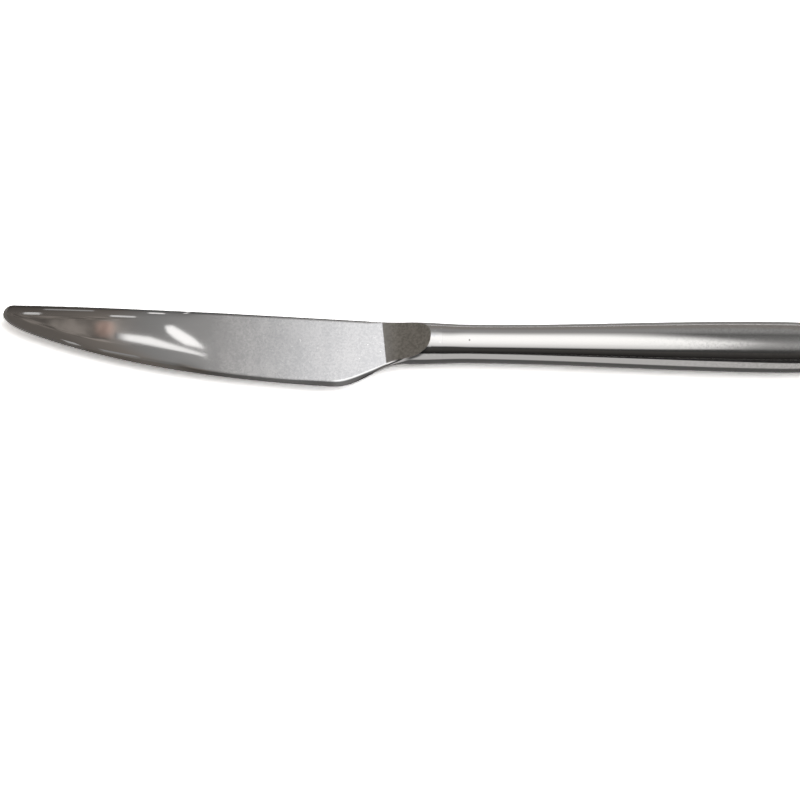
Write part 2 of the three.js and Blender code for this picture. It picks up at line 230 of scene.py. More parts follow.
@dataclass(frozen=True)
class Shank:
    """Round neck and handle, as radii about the axis in millimetres."""

    axis: Axis = Axis()
    neck_radius: float = 5.05
    waist_radius: float = 4.66
    bulge_radius: float = 6.14
    end_fullness: float = 2.3

    def radius(self, x: Array) -> Array:
        """Radius at x: level on the neck, eased to the waist and to the bulge.

        Args:
            x: places along the axis, up to the bulge.

        Returns:
            The radius at each place.
        """
        axis = self.axis
        to_waist = np.clip((x - axis.round_from) / (axis.waist - axis.round_from), 0.0, 1.0)
        to_bulge = np.clip((x - axis.waist) / (axis.bulge - axis.waist), 0.0, 1.0)
        narrowed = ease(self.neck_radius, self.waist_radius, to_waist)
        return narrowed + ease(0.0, self.bulge_radius - self.waist_radius, to_bulge)

    def dome(self, turn: Array, inset: float) -> tuple[Array, Array]:
        """Rounded end: x and radius are powers 2/n of the sine and cosine of a turn, n being its fullness.

        Args:
            turn: angles from 0 at the bulge to a quarter turn at the end.
            inset: depth of the surface below the outside.

        Returns:
            Places along the axis, and radii.
        """
        power = 2.0 / self.end_fullness
        x = self.axis.bulge + (self.axis.bulge_from_end - inset) * np.sin(turn) ** power
        return x, (self.bulge_radius - inset) * np.clip(np.cos(turn), 0.0, None) ** power


# Meshes


def ring_skin(rows: int, columns: int) -> Array:
    """Quads of a grid whose columns run round closed rings.

    Args:
        rows: number of rings.
        columns: number of points on a ring.

    Returns:
        Four point numbers for each quad.
    """
    first = np.arange(rows - 1)[:, None] * columns
    here = np.arange(columns)[None, :]
    after = (here + 1) % columns
    corners = [first + here, first + after, first + columns + after, first + columns + here]
    return np.stack([np.broadcast_to(c, (rows - 1, columns)).ravel() for c in corners], axis=1)


def new_object(name: str, data: bpy.types.ID) -> Piece:
    """An object of the scene that holds a mesh, a lamp or a camera.

    Args:
        name: name of the object.
        data: what it holds.

    Returns:
        The object, at the origin.
    """
    piece = bpy.data.objects.new(name, data)
    bpy.context.scene.collection.objects.link(piece)
    return piece


def make_piece(name: str, points: Array, faces: Faces, crease_deg: float) -> Piece:
    """A mesh object at the origin, welded, with its faces pointing out and its creases kept sharp.

    Args:
        name: name of the piece.
        points: places in the shared frame, in metres.
        faces: point numbers of each face.
        crease_deg: angle between faces above which an edge stays sharp.

    Returns:
        The new object, linked to the scene.
    """
    mesh = bpy.data.meshes.new(name)
    mesh.from_pydata(points.tolist(), [], [list(map(int, face)) for face in faces])
    shape = bmesh.new()
    shape.from_mesh(mesh)
    bmesh.ops.remove_doubles(shape, verts=shape.verts, dist=WELD_M)
    bmesh.ops.dissolve_degenerate(shape, edges=shape.edges, dist=WELD_M)
    bmesh.ops.recalc_face_normals(shape, faces=shape.faces)
    shape.to_mesh(mesh)
    shape.free()
    mesh.shade_smooth()
    mesh.set_sharp_from_angle(angle=math.radians(crease_deg))
    mesh.validate()
    return new_object(name, mesh)


def points_of(piece: Piece) -> Array:
    """Vertices of a piece.

    Args:
        piece: object whose mesh is read.

    Returns:
        Rows of x, y and z in metres.
    """
    flat = np.empty(len(piece.data.vertices) * 3, np.float32)
    piece.data.vertices.foreach_get("co", flat)
    return flat.reshape(-1, 3).astype(float)


def mark(piece: Piece, name: str, values: Array) -> None:
    """Stores one number for each vertex under a name that a material can read."""
    attribute = piece.data.attributes.new(name, "FLOAT", "POINT")
    attribute.data.foreach_set("value", values.astype(np.float32))


def dress(piece: Piece, material: Material) -> None:
    """Gives a piece one material."""
    piece.data.materials.clear()
    piece.data.materials.append(material)


def seat(piece: Piece, material: Material, slot: str, *nodes: str) -> None:
    """Dresses a piece and sets it on the knife in place of CAD nodes.

    Args:
        piece: the new piece.
        material: its finish.
        slot: the record's material slot; not used.
        nodes: the CAD nodes that it stands for.
    """
    dress(piece, material)
    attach(piece, ROOT_BODY)
    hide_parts(*nodes)
    LOG.info("%s: %d vertices, for %s", piece.name, len(piece.data.vertices), ", ".join(nodes))


@dataclass
class Blade:
    """Forged blade with its ground faces, scooped neck, spigot and tang. Sizes are in millimetres."""

    pose: RestPose = RestPose()
    axis: Axis = Axis()
    shank: Shank = Shank()

    # Outline: nodes, their headings, and the pulls of the curve from each node to the next
    tip_radius: float = 2.4
    spine_height: float = 8.92
    spine_at_neck: float = 5.3
    spine_headings_deg: Range = (-0.5, -2.9)
    spine_pulls: Stops = ((27.6, 35.0), (2.4, 2.4))
    belly_start: float = 9.5
    belly_start_height: float = 0.45
    heel_back: float = 12.85
    heel_depth: float = 11.7
    choil_back: float = 3.55
    choil_depth: float = 8.62
    edge_headings_deg: Triple = (-19.3, -3.0, 31.3)
    edge_pulls: Stops = ((2.2, 5.3), (21.7, 27.5), (4.0, 3.3), (3.3, 4.7))

    # Faces, edges and neck: thickness at the neck, tip and heel, bevel at the tip, middle and heel
    thicknesses: Triple = (1.9, 1.3, 1.05)
    spine_round: float = 0.4
    bevel_widths: Triple = (0.45, 1.15, 1.45)
    bevel_widens: Range = (12.0, 42.0)
    heel_run: Range = (66.0, 78.0)
    bevel_run_out: float = 15.0
    bevel_round: float = 0.3
    edge_land: float = 0.3
    edge_round: float = 0.1
    roll_width: float = 3.6
    roll_drop: float = 0.131
    roll_power: int = 3
    polish_end: float = 50.0
    polish_fade: float = 8.0
    neck_blend: float = 8.0
    choil_round: float = 0.85
    choil_run: Range = (82.0, 89.0)
    spine_corner_until: Range = (0.15, 0.55)
    edge_corner_until: Range = (0.12, 0.42)
    scoop_lean_deg: float = 6.3
    scoop_back: float = 0.325
    scoop_arc_deg: Range = (12.0, 64.0)

    # Zones of the finish and of the painted shade and highlight lines: ranges along x, and depths below the
    # face or in from the spine
    scoop_skin: float = 0.03
    neck_polish: Range = (88.0, 93.0)
    neck_depth: Range = (0.005, 0.05)
    # painted shade along the rounded spine: its band in from the spine, and its weight at the tip
    spine_shade_band: Range = (0.45, 1.1)
    spine_shade_at_tip: float = 0.3
    # a painted highlight line just under the face's crease: its depths and its run along x
    highlight_line_depths: Stops = ((0.0, 0.02), (0.06, 0.14))
    highlight_line_run: Stops = ((74.0, 88.0), (90.5, 96.0))
    # painted shade on the ground edge and along the neck's edge side: where it starts, its weight before the
    # heel, and the neck's band
    bevel_shade_from: Range = (22.0, 60.0)
    bevel_shade_before_heel: float = 0.84
    neck_shade_run: Stops = ((96.8, 99.2), (100.5, 104.0))
    neck_shade_depths: Stops = ((0.0, 0.03), (0.45, 1.1))

    # Spigot and tang
    spigot_radius: float = 2.855
    tang_half_sizes: Range = (2.555, 1.5)
    tang_half_sizes_at_end: Range = (2.0, 1.1)
    tang_fullness: float = 5.0

    # Fineness of the mesh
    curve_points: int = 1500
    side_steps: int = 32
    face_steps: int = 64
    tip_stations: int = 70
    blade_stations: int = 150
    scoop_stations: int = 130
    settle_rounds: int = 6
    crease_deg: float = 14.0

    def __post_init__(self) -> None:
        """Works out the outline, as rows of x, y and tangent on each side, and the plane of the face."""
        level, up, down = 0.0, 90.0, -90.0
        start, round_from = self.axis.blade_length, self.axis.round_from
        apex, neck = self.spine_height - self.tip_radius, self.shank.neck_radius
        spine_tip = OutlineNode(self.tip_radius, self.spine_height, self.spine_headings_deg[0])
        spine_neck = OutlineNode(start, self.spine_at_neck, self.spine_headings_deg[1])
        belly = OutlineNode(self.belly_start, self.belly_start_height, self.edge_headings_deg[0])
        heel = OutlineNode(start - self.heel_back, -self.heel_depth, self.edge_headings_deg[1])
        choil = OutlineNode(start - self.choil_back, -self.choil_depth, self.edge_headings_deg[2])
        spine = [OutlineNode(0.0, apex, up), spine_tip, spine_neck, OutlineNode(round_from, neck, level)]
        edge = [OutlineNode(0.0, apex, down), belly, heel, choil, OutlineNode(round_from, -neck, level)]
        tip_pull = QUARTER_CIRCLE_PULL * self.tip_radius
        self.outlines: dict[Side, Array] = {
            Side.SPINE: fair_line(spine, ((tip_pull, tip_pull), *self.spine_pulls), self.curve_points),
            Side.EDGE: fair_line(edge, self.edge_pulls, self.curve_points),
        }
        plan = np.array([[node.x, node.y, 1.0] for node in (spine_neck, spine_tip, heel)])
        self.face: Array = np.linalg.solve(plan, np.array(self.thicknesses) / 2)

    def outline(self, side: Side, x: Array) -> tuple[Array, Array]:
        """Outline at x and the way into the blade there, square to the outline.

        Args:
            side: spine or cutting edge.
            x: places along the axis.

        Returns:
            Rows of x and y, and rows of the unit direction inwards.
        """
        table = self.outlines[side]
        y, run, rise = (np.interp(x, table[:, 0], table[:, k]) for k in (1, 2, 3))
        y = np.where(x >= self.axis.round_from, side.value * self.shank.radius(x), y)
        inward = np.stack([side.value * rise, -side.value * run], axis=-1)
        return np.stack([x, y], axis=-1), inward / np.linalg.norm(inward, axis=-1, keepdims=True)

    def scoop_start(self, y: Array) -> Array:
        """Place along the axis where the scoop's leaning first line crosses y."""
        return self.axis.blade_length - self.scoop_back - y * math.tan(math.radians(self.scoop_lean_deg))

    def scoop_share(self, x: Array, y: Array) -> Array:
        """How far along the scoop a point lies, from 0 on its first line to 1 at the crest."""
        start = self.scoop_start(y)
        return np.clip((x - start) / (self.axis.crest - start), 0.0, 1.0)

    def face_height(self, x: Array, y: Array) -> Array:
        """Height of the face: a plane, then the scoop, an arc whose sine grows evenly up to the crest.

        Args:
            x: places along the axis.
            y: places across the blade.

        Returns:
            Heights above the middle of the blade.
        """
        flat = self.face[0] * x + self.face[1] * y + self.face[2]
        first, last = (math.radians(turn) for turn in self.scoop_arc_deg)
        turned = np.arcsin(mix(math.sin(first), math.sin(last), self.scoop_share(x, y)))
        rise = (math.cos(first) - np.cos(turned)) / (math.cos(first) - math.cos(last))
        return mix(flat, self.shank.radius(np.array(self.axis.crest)), rise)

    def bevel_profile(self, x: Array, share: Array, height: Array) -> tuple[Array, Array]:
        """Profile of the cutting edge: a quarter round on the blunt edge, a slant, and a parabola at its top.

        Args:
            x: places along the axis.
            share: 0 on the outline to 1 at the crease of the face.
            height: height of the face at the crease.

        Returns:
            Depth in from the outline, and height as a share of the crease's height.
        """
        land = self.edge_land / 2.0 / height
        tuck = np.clip(2.0 * share, 0.0, 1.0) * np.pi / 2
        tip, middle, heel = self.bevel_widths
        width = mix(tip, middle, smooth(*self.bevel_widens, x)) + (heel - middle) * smooth(*self.heel_run, x)
        inner = width + self.bevel_round / 2.0
        slant = (inner - self.edge_round) * np.clip(2.0 * share - 1.0, 0.0, 1.0)
        left = inner - self.edge_round - slant
        soft, straight = left**2 / self.bevel_round / 2.0, left - self.bevel_round / 2.0
        fall = np.where(left < self.bevel_round, soft, straight)
        rise = 1.0 - (1.0 - land) * fall / (width - self.edge_round) - land * (1.0 - np.sin(tuck))
        return self.edge_round * (1.0 - np.cos(tuck)) + slant, rise

    def side_profile(self, side: Side, x: Array, share: Array, height: Array) -> tuple[Array, Array]:
        """Profile of an edge: a quarter ellipse, a bevel or an arc about the axis, mixed along the blade.

        Args:
            side: spine or cutting edge.
            x: places along the axis.
            share: 0 on the outline to 1 at the crease of the face.
            height: height of the face at the crease.

        Returns:
            Depth in from the outline, and height as a share of the crease's height.
        """
        quarter = share * np.pi / 2
        radius = self.shank.radius(x)
        depth, rise = self.spine_round * (1.0 - np.cos(quarter)), np.sin(quarter)
        rounding, soft = self.spine_round, 1.0 - smooth(*self.spine_corner_until, height / radius)
        if side is Side.EDGE:
            bevel_depth, bevel_rise = self.bevel_profile(x, share, height)
            ground = smooth(0.0, self.bevel_run_out, x)
            depth, rise = mix(depth, bevel_depth, ground), mix(rise, bevel_rise, ground)
            rounding = self.choil_round
            soft = smooth(*self.choil_run, x) * (1.0 - smooth(*self.edge_corner_until, height / radius))
        cut = np.arcsin(np.clip(height / radius, 0.0, 1.0))
        arc_depth = radius * (1.0 - np.cos(share * cut)) + rounding * soft * (1.0 - np.cos(quarter))
        arc_rise = mix(np.sin(share * cut) / np.sin(cut), np.sin(quarter), soft)
        turned = smooth(self.axis.blade_length - self.neck_blend, self.axis.blade_length, x)
        return mix(depth, arc_depth, turned), mix(rise, arc_rise, turned)

    def polish(self, x: Array) -> Array:
        """How far the soft polish of the tip reaches, from 1 at the tip to 0 where the satin starts."""
        return 1.0 - smooth(self.polish_end - self.polish_fade, self.polish_end, x)

    def side_points(self, side: Side, x: Array) -> Array:
        """Points of one edge on the upper half, from the outline in to the crease.

        Args:
            side: spine or cutting edge.
            x: stations along the axis.

        Returns:
            Rows of stations, columns of points, each with x, y and height.
        """
        place, inward = self.outline(side, x)
        crease = place
        for _ in range(self.settle_rounds):
            face = self.face_height(crease[:, 0], crease[:, 1]) - self.roll_drop * self.polish(x)
            height = np.minimum(face, self.shank.radius(x))
            depth, _ = self.side_profile(side, x, np.ones_like(x), height)
            crease = place + inward * depth[:, None]
        share = np.linspace(0.0, 1.0, self.side_steps + 1)[None, :]
        depth, rise = self.side_profile(side, x[:, None], share, height[:, None])
        flat = place[:, None, :] + inward[:, None, :] * depth[..., None]
        return np.concatenate([flat, (rise * height[:, None])[..., None]], axis=-1)

    def stations(self) -> Array:
        """Stations along the blade and neck, packed close round the tip and over the scoop.

        Returns:
            Places along the axis, from the tip to the joint.
        """
        scoop = self.scoop_start(self.spine_at_neck)
        tip = self.belly_start * np.linspace(0.0, 1.0, self.tip_stations) ** 2
        blade = np.linspace(self.belly_start, scoop, self.blade_stations)
        neck = np.linspace(scoop, self.axis.crest, self.scoop_stations)
        return np.concatenate([tip[:-1], blade[:-1], neck, [self.axis.joint]])

    def rings(self) -> Array:
        """Rings round the blade: spine profile, face, edge profile, and the same mirrored below.

        The face of the polished part falls off near each crease by a drop times a power of the distance.

        Returns:
            Rows of stations, columns of points.
        """
        x = self.stations()
        spine, edge = self.side_points(Side.SPINE, x), self.side_points(Side.EDGE, x)[:, ::-1]
        share = ease(0.0, 1.0, np.linspace(0.0, 1.0, self.face_steps + 1))[1:-1, None]
        creases = spine[:, -1:, :], edge[:, :1, :]
        across = mix(*creases, share[None])
        near = [np.linalg.norm((across - crease)[..., :2], axis=-1) / self.roll_width for crease in creases]
        flat = [1.0 - np.clip(1.0 - distance, 0.0, 1.0) ** self.roll_power for distance in near]
        roll = self.roll_drop * self.polish(x)[:, None] * (1.0 - flat[0] * flat[1])
        face = self.face_height(across[..., 0], across[..., 1]) - roll
        across[..., 2] = np.minimum(face, self.shank.radius(x)[:, None])
        upper = np.concatenate([spine, across, edge], axis=1)
        lower = upper[:, -2:0:-1] * np.array([1.0, 1.0, -1.0])
        return np.concatenate([upper, lower], axis=1)

    def tang_rings(self) -> Array:
        """Rings of the round spigot and of the oblong tang, in line with the points of the neck's last ring.

        They are half sizes times the 2/n powers of the cosine and sine of a turn, n being 2 for a round ring.

        Returns:
            Rows of four stations, columns of points.
        """
        quarter = np.linspace(0.0, np.pi / 2, self.side_steps + 1)
        top = np.full(self.face_steps - 1, np.pi / 2)
        upper = np.concatenate([quarter, top, np.pi - quarter[::-1]])
        turn = np.concatenate([upper, -upper[-2:0:-1]])
        joint, start = self.axis.joint, self.axis.tang_start
        spigot = (self.spigot_radius, self.spigot_radius, ROUND)
        sizes = [
            (joint, *spigot),
            (joint + self.axis.spigot_length, *spigot),
            (start, *self.tang_half_sizes, self.tang_fullness),
            (start + self.axis.tang_length, *self.tang_half_sizes_at_end, self.tang_fullness),
        ]
        x, half_width, half_thickness, exponent = np.array(sizes).T[..., None]
        cosine, sine = np.cos(turn), np.sin(turn)
        y = half_width * np.sign(cosine) * np.abs(cosine) ** (2.0 / exponent)
        z = half_thickness * np.sign(sine) * np.abs(sine) ** (2.0 / exponent)
        return np.stack([np.broadcast_to(x, y.shape), y, z], axis=-1)

    def mark_zones(self, piece: Piece) -> None:
        """Stores the place along the blade and the weight of each zone, painted shade and highlight too, for
        the finish to read.

        Args:
            piece: the blade.
        """
        x, y, z = self.pose.to_knife(points_of(piece)).T
        below = self.face_height(x, y) - np.abs(z)
        inset = self.outline(Side.SPINE, x)[0][:, 1] - y
        on_neck, on_edge_side = smooth(*self.neck_polish, x), y < 0.0
        in_scoop = (below < self.scoop_skin) & (x < self.axis.crest)
        shade = mix(1.0, self.spine_shade_at_tip, self.polish(x)) * (1.0 - on_neck)
        # line: a polished strip whose brighter tone is a painted highlight
        line = between(*self.highlight_line_depths, below) * (x < self.axis.round_from)
        line = line * between(*self.highlight_line_run, x)
        past_line = smooth(*self.highlight_line_depths[1], below)
        # bevel: painted shade on the ground edge, darkest at the heel; the neck's band is painted shade along
        # the neck's edge side
        bevel = past_line * smooth(*self.bevel_shade_from, x) * (1.0 - on_neck)
        bevel = bevel * mix(self.bevel_shade_before_heel, 1.0, smooth(*self.heel_run, x))
        neck_shade_line = between(*self.neck_shade_run, x) * between(*self.neck_shade_depths, below)
        mark(piece, "along", x)
        mark(piece, "scoop", np.where(in_scoop, self.scoop_share(x, y), 0.0))
        # the spine mark is painted shade along the rounded spine
        mark(piece, "spine", (1.0 - smooth(*self.spine_shade_band, inset)) * shade)
        mark(piece, "neck", smooth(*self.neck_depth, below) * on_neck)
        mark(piece, "line", line * on_edge_side)
        mark(piece, "bevel", np.maximum(bevel, neck_shade_line) * on_edge_side)

    def build(self) -> Piece:
        """Skins the rings, closes the tang's end and marks the zones.

        Returns:
            The blade, not yet dressed.
        """
        rings = np.concatenate([self.rings(), self.tang_rings()])
        rows, columns = rings.shape[:2]
        faces = ring_skin(rows, columns).tolist()
        faces.append(list(range((rows - 1) * columns, rows * columns)))
        piece = make_piece("forged_blade", self.pose.to_row(rings.reshape(-1, 3)), faces, self.crease_deg)
        self.mark_zones(piece)
        return piece

    def dress(self, piece: Piece, material: Material) -> None:
        """Gives the blade its finish and sets it in place of the CAD's blade."""
        seat(piece, material, "blade_steel", "blade")


@dataclass
class HandleShell:
    """One stamped half shell of the hollow handle. Sizes are in millimetres."""

    half: Half
    pose: RestPose = RestPose()
    axis: Axis = Axis()
    shank: Shank = Shank()
    wall: float = 0.8
    seam: float = 0.012
    shank_stations: int = 150
    dome_stations: int = 60
    arc_steps: int = 56
    crease_deg: float = 30.0

    def half_rings(self, inset: float) -> Array:
        """Half circles from the mouth to the end, held off the seam by half of its width.

        Args:
            inset: depth below the outside.

        Returns:
            Rows of stations, columns of points.
        """
        shank_x = np.linspace(self.axis.joint + self.seam, self.axis.bulge, self.shank_stations)
        quarter = np.linspace(0.0, np.pi / 2, self.dome_stations)[1:]
        dome_x, dome_radius = self.shank.dome(quarter, inset)
        x = np.concatenate([shank_x, dome_x])[:, None]
        radius = np.concatenate([self.shank.radius(shank_x) - inset, dome_radius])[:, None]
        turn = np.linspace(0.0, np.pi, self.arc_steps + 1)[None, :]
        height = np.maximum(radius * np.sin(turn), self.seam / 2)
        reach = np.sqrt(np.clip(radius**2 - height**2, 0.0, None))
        y = np.where(np.cos(turn) < 0.0, -reach, reach)
        return np.stack([np.broadcast_to(x, y.shape), y, self.half.value * height], axis=-1)

    def build(self) -> Piece:
        """Skins the outer and inner half circles as one closed shell.

        Returns:
            The shell, not yet dressed.
        """
        rings = np.concatenate([self.half_rings(0.0), self.half_rings(self.wall)[:, ::-1]], axis=1)
        rows, columns = rings.shape[:2]
        here = np.arange(self.arc_steps)
        mouth = np.stack([here, here + 1, columns - 2 - here, columns - 1 - here], axis=1)
        faces = np.vstack([ring_skin(rows, columns), mouth])
        name = f"handle_{self.half.name.lower()}_shell"
        piece = make_piece(name, self.pose.to_row(rings.reshape(-1, 3)), faces, self.crease_deg)
        mark(piece, "along", self.pose.to_knife(points_of(piece))[:, 0])
        return piece

    def dress(self, piece: Piece, material: Material) -> None:
        """Gives the shell its finish and sets it in place of the CAD's own half."""
        seat(piece, material, "handle_steel", f"handle_shell_{self.half.name.lower()}")


# Finishes


@dataclass(frozen=True)
class Grain:
    """A noise: lumps per metre, layers of finer lumps, how strong those are, and the range of its step."""

    per_m: float
    detail: float = 3.0
    roughness: float = 0.5
    steps: Range = (0.0, 1.0)


class Board:
    """Short hand for laying nodes into one node tree."""

    def __init__(self, tree: bpy.types.NodeTree) -> None:
        """Takes a tree and clears it."""
        self.tree = tree
        tree.nodes.clear()

    def feed(self, socket: Socket, value: Feed) -> None:
        """Links a socket to another, or sets its own value.

        Args:
            socket: input that is fed.
            value: an output, a number, a vector or a colour.
        """
        if isinstance(value, Socket):
            self.tree.links.new(value, socket)
        elif isinstance(value, tuple) and socket.type == "RGBA":
            socket.default_value = (*value, 1.0)
        else:
            socket.default_value = value

    def add(self, kind: str, inputs: Optional[Inputs] = None, **settings: object) -> bpy.types.Node:
        """A new node with its settings and inputs.

        Args:
            kind: type of the node.
            inputs: what feeds each input, by its name or number.
            settings: the node's own settings.

        Returns:
            The node.
        """
        node = self.tree.nodes.new(kind)
        for name, value in settings.items():
            setattr(node, name, value)
        for key, value in (inputs or {}).items():
            self.feed(node.inputs[key], value)
        return node

    def math(self, operation: str, *values: Feed) -> Socket:
        """Output of a Math node over the values."""
        return self.add("ShaderNodeMath", dict(enumerate(values)), operation=operation).outputs[0]

    def step(self, value: Feed, low: float, high: float, first: Feed = 0.0, second: Feed = 1.0) -> Socket:
        """Smooth step of a value, from the first number at low to the second at high."""
        inputs = {"Value": value, "From Min": low, "From Max": high, "To Min": first, "To Max": second}
        return self.add("ShaderNodeMapRange", inputs, interpolation_type="SMOOTHSTEP").outputs["Result"]

    def fall(self, value: Feed, low: float, high: float) -> Socket:
        """Smooth step of a value down from 1 at low to 0 at high."""
        return self.step(value, low, high, 1.0, 0.0)

    def product(self, *values: Feed) -> Socket:
        """Product of two or more values."""
        return reduce(partial(self.math, "MULTIPLY"), values)

    def ramp(self, value: Feed, stops: Stops) -> Socket:
        """Number that runs straight from stop to stop. The renderer keeps 256 steps of the whole range.

        Args:
            value: what the stops are placed along.
            stops: pairs of a value and a number.

        Returns:
            The number, level before the first stop and after the last.
        """
        low, high = stops[0][0], stops[-1][0]
        spread = self.add("ShaderNodeMapRange", {"Value": value, "From Min": low, "From Max": high})
        node = self.add("ShaderNodeValToRGB", {"Fac": spread.outputs["Result"]})
        elements = node.color_ramp.elements
        for index, (place, number) in enumerate(stops):
            at = (place - low) / (high - low)
            stop = elements[index] if index < 2 else elements.new(at)
            stop.position = at
            stop.color = (number, number, number, 1.0)
        return node.outputs["Color"]

    def blend(self, weight: Feed, first: Feed, second: Feed) -> Socket:
        """Mix of two colours, weight 0 giving the first and 1 the second."""
        return self.add("ShaderNodeMix", {0: weight, 6: first, 7: second}, data_type="RGBA").outputs[2]

    def noise(self, vector: Feed, grain: Grain) -> Socket:
        """Value of a noise over a vector in metres."""
        inputs = {"Scale": grain.per_m, "Detail": grain.detail, "Roughness": grain.roughness}
        return self.add("ShaderNodeTexNoise", {"Vector": vector, **inputs}).outputs["Fac"]

    def stretched(self, vector: Feed, scale: Triple) -> Socket:
        """A vector scaled apart along its axes."""
        return self.add("ShaderNodeMapping", {"Vector": vector, "Scale": scale}).outputs["Vector"]

    def distance(self, place: Feed, point: Triple) -> Socket:
        """Distance of a place from a point."""
        return self.add("ShaderNodeVectorMath", {0: place, 1: point}, operation="DISTANCE").outputs["Value"]

    def split(self, vector: Feed) -> bpy.types.bpy_prop_collection:
        """Outputs X, Y and Z of a vector."""
        return self.add("ShaderNodeSeparateXYZ", {0: vector}).outputs

    def attribute(self, name: str) -> Socket:
        """Number that a piece stores under a name."""
        return self.add("ShaderNodeAttribute", attribute_name=name).outputs["Fac"]

    def object_place(self) -> Socket:
        """Place on the piece, in metres of the shared frame."""
        return self.add("ShaderNodeTexCoord").outputs["Object"]

    def bump(self, height: Feed, strength: float, distance: float) -> Socket:
        """Normal that is bent by a height, the distance in metres being that of a height of 1."""
        inputs = {"Strength": strength, "Distance": distance, "Height": height}
        return self.add("ShaderNodeBump", inputs).outputs["Normal"]

    def close(self, shader: bpy.types.Node, output: str = "ShaderNodeOutputMaterial") -> None:
        """Ends the tree with a shader."""
        self.add(output, {"Surface": shader.outputs[0]})

    def metal(self, colour: Feed, roughness: Feed, normal: Socket, metallic: float = 1.0) -> None:
        """Closes a material with a metal surface, or a dull one where metallic is 0."""
        inputs = {"Metallic": metallic, "Base Color": colour, "Roughness": roughness, "Normal": normal}
        self.close(self.add("ShaderNodeBsdfPrincipled", inputs))


def new_board(name: str) -> tuple[Material, Board]:
    """A new material and the board of its nodes.

    Args:
        name: name of the material.

    Returns:
        The material, and a board with no nodes yet.
    """
    material = bpy.data.materials.new(name)
    material.use_nodes = True
    return material, Board(material.node_tree)


@dataclass(frozen=True)
class BladeFinish:
    """Blade steel: bright polish at the tip, satin with specks painted as glints towards the heel, a dull
    scoop.
    """

    steel: Triple = (0.645, 0.632, 0.622)
    dull: Triple = (0.52, 0.513, 0.51)
    heel_steel: Triple = (0.66, 0.655, 0.664)
    heel_dull: Triple = (0.532, 0.532, 0.545)
    # light tone of the specks, which are painted glints
    speck_glint: Triple = (0.9, 0.9, 0.89)
    # tone of the painted shade along the rounded spine
    spine: Triple = (0.18, 0.175, 0.17)
    # tone of the painted shade on the ground edge and along the neck
    bevel: Triple = (0.115, 0.112, 0.11)
    # tone of the highlight line, a polished strip painted brighter than the steel as a highlight
    line: Triple = (0.69, 0.69, 0.685)
    scoop: Triple = (0.53, 0.505, 0.465)
    scoop_dark: Triple = (0.38, 0.36, 0.325)
    scoop_start: Triple = (0.33, 0.315, 0.3)
    scoop_start_share: Range = (0.02, 0.3)
    scoop_start_weight: float = 0.7
    # the scoop's specks get a share of the painted glints
    scoop_speck_weight: float = 0.5
    polish: float = 0.03
    neck: float = 0.085
    satin: float = 0.19
    scoop_roughness: float = 0.3
    mottle_roughness: float = 0.05
    satin_mm: Range = (47.0, 58.0)
    specks_mm: Range = (46.0, 76.0)
    grain: Grain = Grain(1700.0, 3.0, 0.6)
    mottle: Grain = Grain(260.0, 4.0, 0.6)
    mottle_stretch: Triple = (1.0, 0.4, 1.0)
    speck: Grain = Grain(1250.0, 3.0, 0.7, (0.64, 0.74))
    spot: Grain = Grain(1500.0, 4.0, 0.65, (0.36, 0.62))
    grain_share: float = 0.6
    mottle_share: float = 0.4
    worn_steps: Range = (0.35, 0.65)
    scoop_edge: float = 0.01
    spot_relief: float = 4.0
    bump: Range = (0.15, 0.00003)

    def material(self) -> Material:
        """Roughness and colour follow the place along the blade; grain, mottle and specks are noise.

        Returns:
            The blade's material.
        """
        material, board = new_board("blade_steel")
        place, along, along_scoop = board.object_place(), board.attribute("along"), board.attribute("scoop")
        scoop = board.step(along_scoop, 0.0, self.scoop_edge)
        satin, heel_zone = board.step(along, *self.satin_mm), board.step(along, *self.specks_mm)
        on_blade = board.fall(board.attribute("neck"), 0.0, 1.0)
        mottle = board.noise(board.stretched(place, self.mottle_stretch), self.mottle)
        grain, spots = board.noise(place, self.grain), board.noise(place, self.spot)
        specks = board.step(board.noise(place, self.speck), *self.speck.steps)

        shares = board.product(grain, self.grain_share), board.product(mottle, self.mottle_share)
        worn = board.product(board.fall(board.math("ADD", *shares), *self.worn_steps), satin, on_blade)
        cool = board.product(heel_zone, on_blade)
        bright = board.blend(cool, self.steel, self.heel_steel)
        colour = board.blend(worn, bright, board.blend(cool, self.dull, self.heel_dull))
        # specks: painted glints, lighter than the steel, towards the heel
        colour = board.blend(board.product(specks, heel_zone), colour, self.speck_glint)
        dug = board.blend(board.step(spots, *self.spot.steps), self.scoop_dark, self.scoop)
        start = board.step(along_scoop, *self.scoop_start_share, self.scoop_start_weight, 0.0)
        dug = board.blend(start, dug, self.scoop_start)
        # painted glints on the scoop's specks
        dug = board.blend(board.step(specks, 0.0, 1.0, 0.0, self.scoop_speck_weight), dug, self.speck_glint)
        colour = board.blend(scoop, colour, dug)
        # the bevel and spine tones are painted shade; the line's tone is a painted highlight
        for name, tone in (("bevel", self.bevel), ("line", self.line), ("spine", self.spine)):
            colour = board.blend(board.attribute(name), colour, tone)

        rough = board.step(satin, 0.0, 1.0, self.polish, self.satin)
        rough = board.math("ADD", rough, board.product(mottle, self.mottle_roughness, satin))
        for name in ("neck", "line"):
            rough = board.step(board.attribute(name), 0.0, 1.0, rough, self.neck)
        rough = board.step(scoop, 0.0, 1.0, rough, self.scoop_roughness)
        relief = board.math("ADD", board.product(grain, worn), board.product(spots, self.spot_relief, scoop))
        board.metal(colour, rough, board.bump(relief, *self.bump))
        return material


